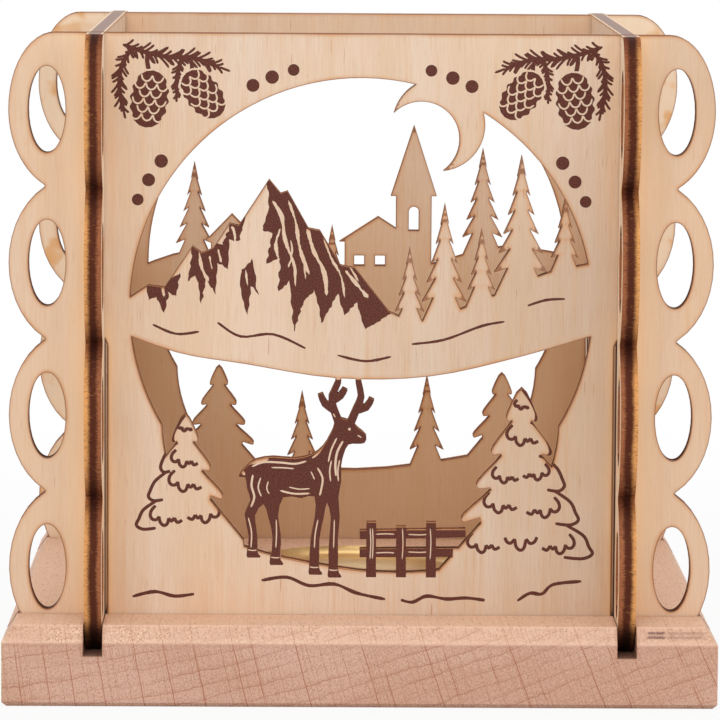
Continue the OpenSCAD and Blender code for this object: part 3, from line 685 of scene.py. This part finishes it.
def birch_face():
    """Sanded birch: vertical grain from broad bands down to fibres, short dark pores, and a toasted
    margin that darkens towards a cut. Near the joint with the next panel it is toasted more and
    lightened by painted light; painted light and shade also lie on the lobes, the inside faces and the front
    sheet."""
    f = Finish("birch_face", Specular_IOR_Level=0.32)
    u, v, t = f.sheet()
    recess, gap = f.attribute("recess"), f.attribute("cut_gap")
    back = t < 0.0
    x = u + back * 57.0                      # the two sides of a sheet differ in grain
    wavy = f.noise(x * 0.05, v * 0.018, t) * 3.0
    band = f.noise((x + wavy) * 0.13, v * 0.008, 3.0, 3, 0.55)
    streak = f.noise((x + wavy * 0.3) * 0.9, v * 0.026, 7.0, 3, 0.6)
    fibre = f.noise(x * 5.2, v * 0.14, 11.0, 2, 0.7)
    pore = f.noise(x * 2.6, v * 0.17, 19.0, 1, 0.5).between(0.725, 0.775)
    cloud = f.noise(x * 0.03, v * 0.03, 23.0)
    haze = f.noise(x * 0.09, v * 0.06, 31.0).between(0.36, 0.66)
    f.colour = f.blend(band.between(0.36, 0.66), rgb(228, 204, 182), rgb(224, 194, 166))
    f.coat(streak.between(0.48, 0.76) * 0.52, 222, 178, 136)
    f.coat(fibre.between(0.44, 0.76) * 0.50, 204, 166, 136)
    f.coat(fibre.between(0.40, 0.26) * 0.42, 238, 220, 200)
    f.coat(cloud.between(0.42, 0.72) * 0.30, 230, 196, 162)
    grain = f.noise(x * 7.0, v * 2.6, 41.0, 2, 0.8)
    f.coat(grain.between(0.46, 0.74) * 0.20, 190, 150, 124)
    f.coat(pore * 0.55, 186, 122, 86)
    # painted light: the sheet lightened and warmed towards its sides, fully within 15 mm of them
    f.coat(recess.between(26.0, 15.0) * 0.26, 244, 202, 158)
    # outside, painted light: the lobes lightened next to the joint, and a little toast on both sides of it
    # made bright against the joint's shade
    outside = (1.0 - back) * (recess < JOINT)
    joint = abs(recess - JOINT).between(4.6, 1.3) ** 1.8
    f.coat(outside * recess.between(8.0, 12.5) * 0.40, 255, 222, 184)
    f.coat(outside * joint * (0.30 + haze * 0.34), 255, 210, 150)
    # inside the joint, below the slot's top, a bright toast: partly painted light against the side sheet's
    # shadow
    f.coat((1.0 - back - outside) * joint * v.between(SLOT_TOP + 6.4, SLOT_TOP - 3.6) * 0.62, 255, 206, 138)
    # painted light: the backs of the lobes made paler where the sheets in front shade them
    f.coat(back * (recess < JOINT + 1.0) * 0.55, 255, 236, 208)
    # painted shade: a little darker towards the sheet's outermost sides
    f.coat(recess.between(6.0, 1.0) * 0.10, 196, 152, 120)
    # painted shade: the inside faces tanner and darker, most towards the foot
    tan = v.between(92.0, 46.0) * 0.40 + 0.12
    f.coat(back * (recess > JOINT + 1.0) * tan, 208, 168, 118)
    scorch = gap.between(1.2, 0.0) ** 2.0
    blotch = f.noise(u * 0.16, v * 0.16, 51.0).between(0.54, 0.66) * gap.between(3.6, 0.4)
    f.coat(back * (recess < 13.0) * blotch * 0.75, 226, 164, 92)
    hole = recess.between(2.2, 3.0)
    # painted shade: the front sheet gets a little darker towards its right, and its right lobes darker still
    # near the top
    shade = (u < PANEL_MIDDLE) * u.between(-30.0, 40.0) * v.between(118.0, 70.0)
    shade = shade + (u > PANEL_MIDDLE) * (u < SHEET_STEP / 2) * (0.30 + v.between(88.0, 112.0) * 0.5)
    f.coat(shade, 239, 237, 235, how="MULTIPLY")
    toast = 0.06 + hole * 0.16 + haze * (0.26 + hole * 0.20) + streak * 0.12
    f.coat(scorch * toast, 208, 142, 84)
    f.coat(gap.between(0.28, 0.03) * 0.76, 126, 74, 46)
    # the slots are charred: a dark line along their cut; painted shade, dark brown, on the side sheets' inner
    # faces beside the slots they stand in
    slot = (1.0 - back) * (abs(recess - JOINT) < 2.5) * (v < SLOT_TOP + 0.4)
    f.coat(slot * gap.between(0.40, 0.20) * 0.72, 100, 56, 30)
    soot_and_shade = back * (u > SHEET_STEP * 1.5) * (v < SLOT_TOP)
    soot_and_shade = soot_and_shade * (recess > JOINT - 1.9) * recess.between(19.8, 17.2)
    f.coat(soot_and_shade * 0.84, 92, 52, 32)
    roughness = 0.52 + fibre * 0.16 - pore * 0.1 + soot_and_shade * 0.45
    height = fibre * 0.35 + streak * 0.25 - pore * 0.5
    return f.done(roughness, height, 0.12, 0.0001)


def cut_edge():
    """The toasted edge of the sheet: outer plies in orange brown, a dark core with a speckled border,
    char in streaks through the thickness, darkest in the valleys between the scallops, and near black
    at the foot: char there, and painted shade. The straight top is cut clean: pale plies and a grey core."""
    f = Finish("toasted_edge", Specular_IOR_Level=0.10)
    x, y, z = f.place()
    u, v, t = f.sheet()
    line = f.noise(u * 3.0, v * 3.6, t * 0.5, 3, 0.65)
    soot_and_shade = f.noise(u * 4.6, v * 5.4, t * 1.5, 2, 0.75)
    streak = f.noise(x * 0.9, y * 0.9, z * 2.4, 3, 0.7)
    slow = f.noise(x * 0.10, y * 0.10, z * 0.10)
    edge = t + (line - 0.5) * 0.5 + (soot_and_shade - 0.5) * 1.1 + (slow - 0.5) * 0.7
    outer = edge.between(0.36, 1.22)
    inner = edge.between(-0.40, -1.10)
    f.colour = f.blend(outer, f.blend(inner, rgb(82, 38, 22), rgb(160, 98, 64)), rgb(226, 160, 96))
    f.coat(streak.between(0.50, 0.74) * 0.50, 98, 54, 36)
    f.coat(soot_and_shade.between(0.52, 0.66) * 0.62, 82, 44, 30)
    f.coat(streak.between(0.42, 0.28) * 0.22, 216, 158, 100)
    recess = f.attribute("recess")
    valley = recess.between(0.8, 6.0) * (recess < 9.0)
    f.coat(valley * (0.55 + streak * 0.5), 142, 104, 90, how="MULTIPLY")
    # painted shade with char: the edge goes near black towards the foot, where it stands in the groove
    foot = v.between(15.8, 11.8)
    f.coat(foot * (0.55 + streak * 0.5), 30, 17, 13)
    # the straight top is cut clean, but for the front panel's
    clean = f.blend(abs(t + (line - 0.5) * 0.3).between(1.20, 1.04), rgb(222, 194, 166), rgb(152, 130, 122))
    top = v > PANEL_TOP - 0.05
    f.coat(top * 0.75, 128, 76, 52)
    f.colour = f.blend(top * (u > SHEET_STEP / 2), f.colour, clean)
    return f.done(0.62 + line * 0.2, streak + soot_and_shade * 0.5, 0.35, 0.00015)


def ink():
    """Deep red-brown ink that has sunk into the wood, a little speckled and let through by the grain."""
    f = Finish("brown_ink", Specular_IOR_Level=0.22)
    u, v, _ = f.sheet()
    speck = f.noise(u * 3.8, v * 3.8, 1.0, 2, 0.65)
    fibre = f.noise(u * 6.5, v * 0.14, 11.0, 2, 0.65)
    f.colour = f.blend(speck.between(0.36, 0.64), rgb(80, 38, 29), rgb(105, 57, 45))
    f.coat(fibre.between(0.55, 0.85) * 0.25, 132, 82, 62)
    return f.done(0.58 + speck * 0.14, speck + fibre * 0.4, 0.1, 0.0001)


def beech():
    """Steamed beech cut as a plank whose growth rings are circles round a line far above and to the
    left of the board, and whose grain runs from front to back: thin ring lines, rays square to
    them, and pores that show as specks on the end grain and dashes along the top."""
    f = Finish("beech", Specular_IOR_Level=0.3)
    x, y, z = f.place()
    left, above = 108.0, 376.0               # where the line lies, and so the size of the rings
    dx, dz = x + left, above - z
    r = (dx * dx + dz * dz) ** 0.5
    turn = dx.turn_to(dz) * above
    sway = f.noise(turn * 0.045, y * 0.012, r * 0.05, 3, 0.6)
    jag = f.noise(turn * 0.60, y * 0.08, r * 0.3, 2, 0.6)
    ring = (r + sway * 4.4 + jag * 0.85) / 2.35
    phase = ring.part()
    strength = f.noise(turn * 0.05, y * 0.02, r * 0.5).between(0.34, 0.64)
    calm = 1.0 - z.between(BOARD_TOP - 0.3, BOARD_TOP - 0.05) * 0.7
    line = phase.between(0.075, 0.025) * (phase > 0.004) * calm
    late = phase.between(0.60, 1.0) * strength
    twin = ((r + sway * 3.9 + jag * 0.3) / 4.1).part().between(0.045, 0.01) * calm

    def rays(every, wide, seed, jags):
        """Lines square to the rings, one in each lane of `every` millimetres and off the lane's
        middle by a share of its own; some fade along their length."""
        q = (turn + jag * jags) / every
        lane = q.whole()
        off = f.noise(lane * 7.31 + seed, 0.5, 0.5, 0) * 1.7 - 0.85
        keep = f.noise(lane * 3.7 + seed, r * 0.09, y * 0.05, 1, 0.5).between(0.34, 0.50)
        return abs(q.part() - 0.5 - off).between(wide / every, wide / every * 0.35) * keep

    fine = rays(1.9, 0.075, 2.0, 0.30)
    bold = rays(5.2, 0.125, 9.0, 0.34)
    broken = rays(1.2, 0.065, 4.0, 0.24)
    speck = f.noise(turn * 4.4, y * 0.30, r * 2.6, 2, 0.75)
    dash = f.noise(x * 2.1 + y * 0.5, y * 0.42, z * 3.0, 2, 0.6).between(0.61, 0.68)
    broad = f.noise(x * 0.03, y * 0.012, z * 0.09)
    f.colour = f.blend(broad.between(0.35, 0.65), rgb(214, 174, 152), rgb(204, 161, 137))
    f.coat(late * 0.30, 180, 128, 104)
    f.coat(speck.between(0.48, 0.66) * 0.72, 168, 118, 98)
    f.coat(speck.between(0.44, 0.28) * 0.60, 232, 196, 176)
    f.coat(fine * 0.56 + broken * 0.30, 170, 112, 82)
    f.coat(bold * 0.80, 166, 98, 66)
    f.coat(line * (0.30 + strength * 0.50), 160, 98, 70)
    f.coat(twin * 0.16, 164, 108, 82)
    # the top is planed along the grain: paler and yellower, with short dashes of the pores
    top = z.between(11.2, 11.9)
    f.coat(top * 0.25 + z.between(13.9, 14.25) * 0.40, 234, 196, 166)
    f.coat(dash * 0.58 * z.between(11.0, 14.2), 158, 104, 76)
    # painted shade and highlight on the rounding under the bevel, darker below and lighter above; torn fibres
    # along the bevel; the grooves darkened by the panels' char, and inside them by painted shade too
    rounding = z.between(10.2, BEVEL_FOOT) * z.between(12.4, BEVEL_FOOT)
    f.colour = f.blend(rounding * 0.30, f.colour,
                       f.blend(z.between(10.9, 11.5), rgb(186, 136, 112), rgb(250, 214, 190)))
    bevel = z.between(11.15, 11.6) * z.between(14.25, 13.7)
    grit = f.noise(x * 3.6, y * 2.4, z * 3.6, 2, 0.7)
    patches = f.noise(x * 0.09, 5.0, 0.0, 2, 0.6).between(0.42, 0.58)
    torn = bevel * patches * (x.between(20.0, -50.0) * 0.7 + 0.3)
    f.coat(bevel * 0.05 + torn * grit.between(0.54, 0.62) * 0.62, 248, 216, 180)
    f.coat(torn * grit.between(0.42, 0.35) * 0.85, 152, 88, 54)
    groove = abs(abs(x) - PANEL_MIDDLE).least(abs(abs(y) - PANEL_MIDDLE))
    lip = groove.between(2.5, 1.73) * z.between(8.6, 9.2)
    f.coat(lip * (0.10 + speck * 0.45), 176, 116, 78)
    # painted shade with char: the grooves' walls and floor made near black
    inside = groove.between(1.735, 1.70) * z.between(8.9, 9.0)
    f.coat(inside * 0.72, 72, 42, 30)
    # scorch marks in two rows on the bevel, right of the right groove: a dark pair, then a faint one
    faint = abs(x - 57.6).between(4.1, 3.0) * sway.between(0.44, 0.54) * 0.5
    pair = abs(x - 52.2).between(1.9, 1.2).most(faint)
    up = abs(z - 13.0)
    rows = abs(up - 0.36).between(0.30, 0.10).most(up.between(0.8, 0.3) * 0.30)
    f.coat(pair * rows * y.between(-60.0, -61.0) * (0.35 + speck * 0.75).held(), 104, 62, 60)
    height = speck * 0.5 - line * 0.4 - fine * 0.3 + grit * bevel * 0.8 - dash * 0.3
    return f.done(0.56 + speck * 0.16, height, 0.22, 0.00012)


def brushed_brass(name, tint):
    """Satin brass: fine turned rings, a cloudy tarnish, and small scratches."""
    f = Finish(name, Metallic=1.0)
    x, y, z = f.place()
    r = (x * x + y * y) ** 0.5
    rings = f.noise(r * 9.0, 0.0, z * 9.0, 2, 0.6)
    cloud = f.noise(x * 0.16, y * 0.16, z * 0.16, 3, 0.6)
    scratch = f.noise(x * 0.4 + y * 0.7, y * 6.0 - x * 3.0, z, 2, 0.6).between(0.66, 0.74)
    f.colour = f.blend(cloud.between(0.35, 0.7), rgb(*tint), rgb(*(np.array(tint) - (14, 16, 14))))
    f.coat(scratch * 0.3, 244, 222, 160)
    return f.done(0.24 + cloud * 0.12 + rings * 0.07 - scratch * 0.05, rings, 0.05, 0.00005)


SHEET_FINISHES = birch_face(), cut_edge(), ink()


# ---- Dish: the floor, its dimple round the nail and the curved wall, as one spun sheet

def spun(name, profile, steps=160):
    """A profile of (radius, height) turned about the upright axis: a point at turn a lies at
    (radius cos a, radius sin a, height). The profile is a closed loop, so the skin is closed too."""
    p = np.asarray(profile, float)
    a = np.arange(steps) * 2 * np.pi / steps
    co = np.stack([np.cos(a)[:, None] * p[:, 0], np.sin(a)[:, None] * p[:, 0],
                   np.tile(p[:, 1], (steps, 1))], 2)
    n = len(p)
    i, j = np.meshgrid(np.arange(steps), np.arange(n), indexing="ij")
    i2, j2 = (i + 1) % steps, (j + 1) % n
    quads = np.stack([i * n + j, i2 * n + j, i2 * n + j2, i * n + j2], 2).reshape(-1, 4)
    return mesh_of(name, co.reshape(-1, 3) * MM, (), quads, sharp=40)


def dish():
    """Section of the dish, drawn from the hole's lip along the underside, up the wall's outer arc,
    over the rolled rim and back along the inside. The wall is an arc of 70 degrees that starts flat;
    a point of it at turn a lies at (floor_r + r cos a, BOARD_TOP + wall_r + r sin a)."""
    sheet, wall_r, floor_r = 0.4, 3.040, 19.143
    slope = 1.2 / 1.1                        # of the dimple: what its radius gains per rise
    long = math.hypot(1, slope)
    lip = 13.83                              # height of the hole's lip

    def cone(z):
        """Radius of the dimple round the nail's head: it grows evenly with the height z."""
        return 0.82 + (z - 13.5) * slope

    turn = np.radians(np.linspace(0, 70, 15) - 90)
    outside, inside = (np.stack([floor_r + r * np.cos(turn), BOARD_TOP + wall_r + r * np.sin(turn)], 1)
                       for r in (wall_r, wall_r - sheet))
    middle, across = (outside[-1] + inside[-1]) / 2, (inside[-1] - outside[-1]) / 2
    ahead = np.array([across[1], -across[0]])
    bend = np.radians(np.linspace(0, 180, 7)[1:-1])
    rim = middle - across * np.cos(bend)[:, None] + ahead * 0.35 * np.sin(bend)[:, None]
    rim[:, 1] = np.minimum(rim[:, 1], outside[-1, 1])
    floor = BOARD_TOP + sheet
    profile = np.vstack([
        [(cone(lip), lip), (cone(lip) + sheet / long, lip - sheet * slope / long)],
        [(cone(BOARD_TOP) + sheet * long, BOARD_TOP)], outside, rim, inside[::-1],
        [(cone(floor) + 0.12, floor), (cone(floor) - 0.02, floor - 0.06)]])
    obj = spun("brass_dish", profile)
    obj.data.materials.append(brushed_brass("dish_brass", (212, 179, 125)))
    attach(obj, "board")
    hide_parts("tealight_dish")


# ---- Floor, light and camera

AMBIENT = 0.80                         # light of the room, where what the camera sees is 1
WHITE = (1.0, 1.0, 1.0, 1.0)
LAMPS = (                              # name, place, aim, width, height, watts, colour
    ("key_lamp", (-0.24, -1.10, 1.00), (0, 0, 0.07), 1.0, 0.7, 5.6, (1.0, 0.995, 0.985)),
    ("fill_lamp", (0.85, -0.95, 0.45), (0, 0, 0.06), 0.9, 0.7, 2.2, (1.0, 1.0, 1.0)),
    ("top_lamp", (0.0, 0.25, 1.1), (0, 0, 0.05), 0.9, 0.9, 3.2, (1.0, 1.0, 1.0)),
)


def stand(obj, right, up, back, place):
    """Puts a lamp or camera into the scene at a place, with its axes along three directions."""
    m = np.eye(4)
    m[:3, 0], m[:3, 1], m[:3, 2], m[:3, 3] = right, up, back, place
    obj.matrix_world = Matrix(m.tolist())
    bpy.context.scene.collection.objects.link(obj)


def white_floor():
    """A white floor that keeps a soft shadow, and fades into the white room away from the lantern."""
    side, near, far = 9.0, -2.5, 16.0
    floor = mesh_of("studio_floor", [(-side, near, 0), (side, near, 0), (side, far, 0), (-side, far, 0)],
                    (), (0, 1, 2, 3))
    f = Finish("white_floor", Base_Color=(0.66, 0.66, 0.66, 1), Roughness=0.9, Specular_IOR_Level=0.1)
    x, y, _ = f.place()
    away = ((x * x + y * y) ** 0.5).between(110.0, 420.0)
    glow = f.node("ShaderNodeEmission", {}, {"Color": WHITE, "Strength": 1.0})
    mixed = f.node("ShaderNodeMixShader", {}, {0: f.seen() * (0.90 + away * 0.10),
                                               1: Value(f, f.shader.outputs[0]), 2: glow})
    f.tree.links.new(mixed.socket, f.output.inputs[0])
    floor.data.materials.append(f.material)


def white_room():
    """A white world, and broad soft lamps."""
    world = bpy.data.worlds.new("white_room")
    bpy.context.scene.world = world
    world.use_nodes = True
    room = Nodes(world.node_tree)
    strength = room.seen() * (1.0 - AMBIENT) + AMBIENT
    background = room.tree.nodes["Background"]
    background.inputs["Color"].default_value = WHITE
    room.tree.links.new(strength.socket, background.inputs["Strength"])
    for name, place, aim, wide, high, power, tint in LAMPS:
        data = bpy.data.lights.new(name, "AREA")
        data.shape, data.size, data.size_y, data.energy, data.color = "RECTANGLE", wide, high, power, tint
        back = np.array(place, float) - np.array(aim, float)
        back /= np.linalg.norm(back)
        right = np.cross((0, 0, 1), back)
        right /= np.linalg.norm(right)
        stand(bpy.data.objects.new(name, data), right, np.cross(back, right), back, place)


def photo_camera():
    """The camera of the photograph: its place, then pitch, yaw and roll as the turned right, up and
    forward directions."""
    pitch, yaw, roll = 0.10845, 0.00887, 0.0060
    cp, sp, cy, sy, cr, sr = (g(angle) for angle in (pitch, yaw, roll) for g in (math.cos, math.sin))
    forward = np.array([cp * sy, cp * cy, -sp])
    level, above = np.array([cy, -sy, 0]), np.array([sp * sy, sp * cy, cp])
    data = bpy.data.cameras.new("photo_camera")
    data.sensor_width, data.lens, data.clip_start, data.clip_end = 36.0, 244.65, 0.01, 60.0
    camera = bpy.data.objects.new("photo_camera", data)
    stand(camera, cr * level + sr * above, -sr * level + cr * above, -forward,
          np.array([-7.81, -912.3, 154.1]) * MM)
    bpy.context.scene.camera = camera


photo_camera()
white_floor()
white_room()
for number, (side, body, across, out, shapes) in enumerate((
        ("front", "front_wall", (1, 0, 0), (0, -1, 0), front_print()),
        ("back", "back_wall", (-1, 0, 0), (0, 1, 0), back_print()),
        ("left", "side_walls", (0, -1, 0), (-1, 0, 0), side_print()),
        ("right", "side_walls", (0, 1, 0), (1, 0, 0), side_print()))):
    panel(side + "_sheet", side + "_panel", body, across, out, shapes, number)
dish()
for node, finish in (("base_board", beech()), ("dish_nail", brushed_brass("nail_brass", (208, 170, 118)))):
    nodes[node].data.materials.clear()
    nodes[node].data.materials.append(finish)

bpy.context.scene.view_settings.view_transform = "Standard"
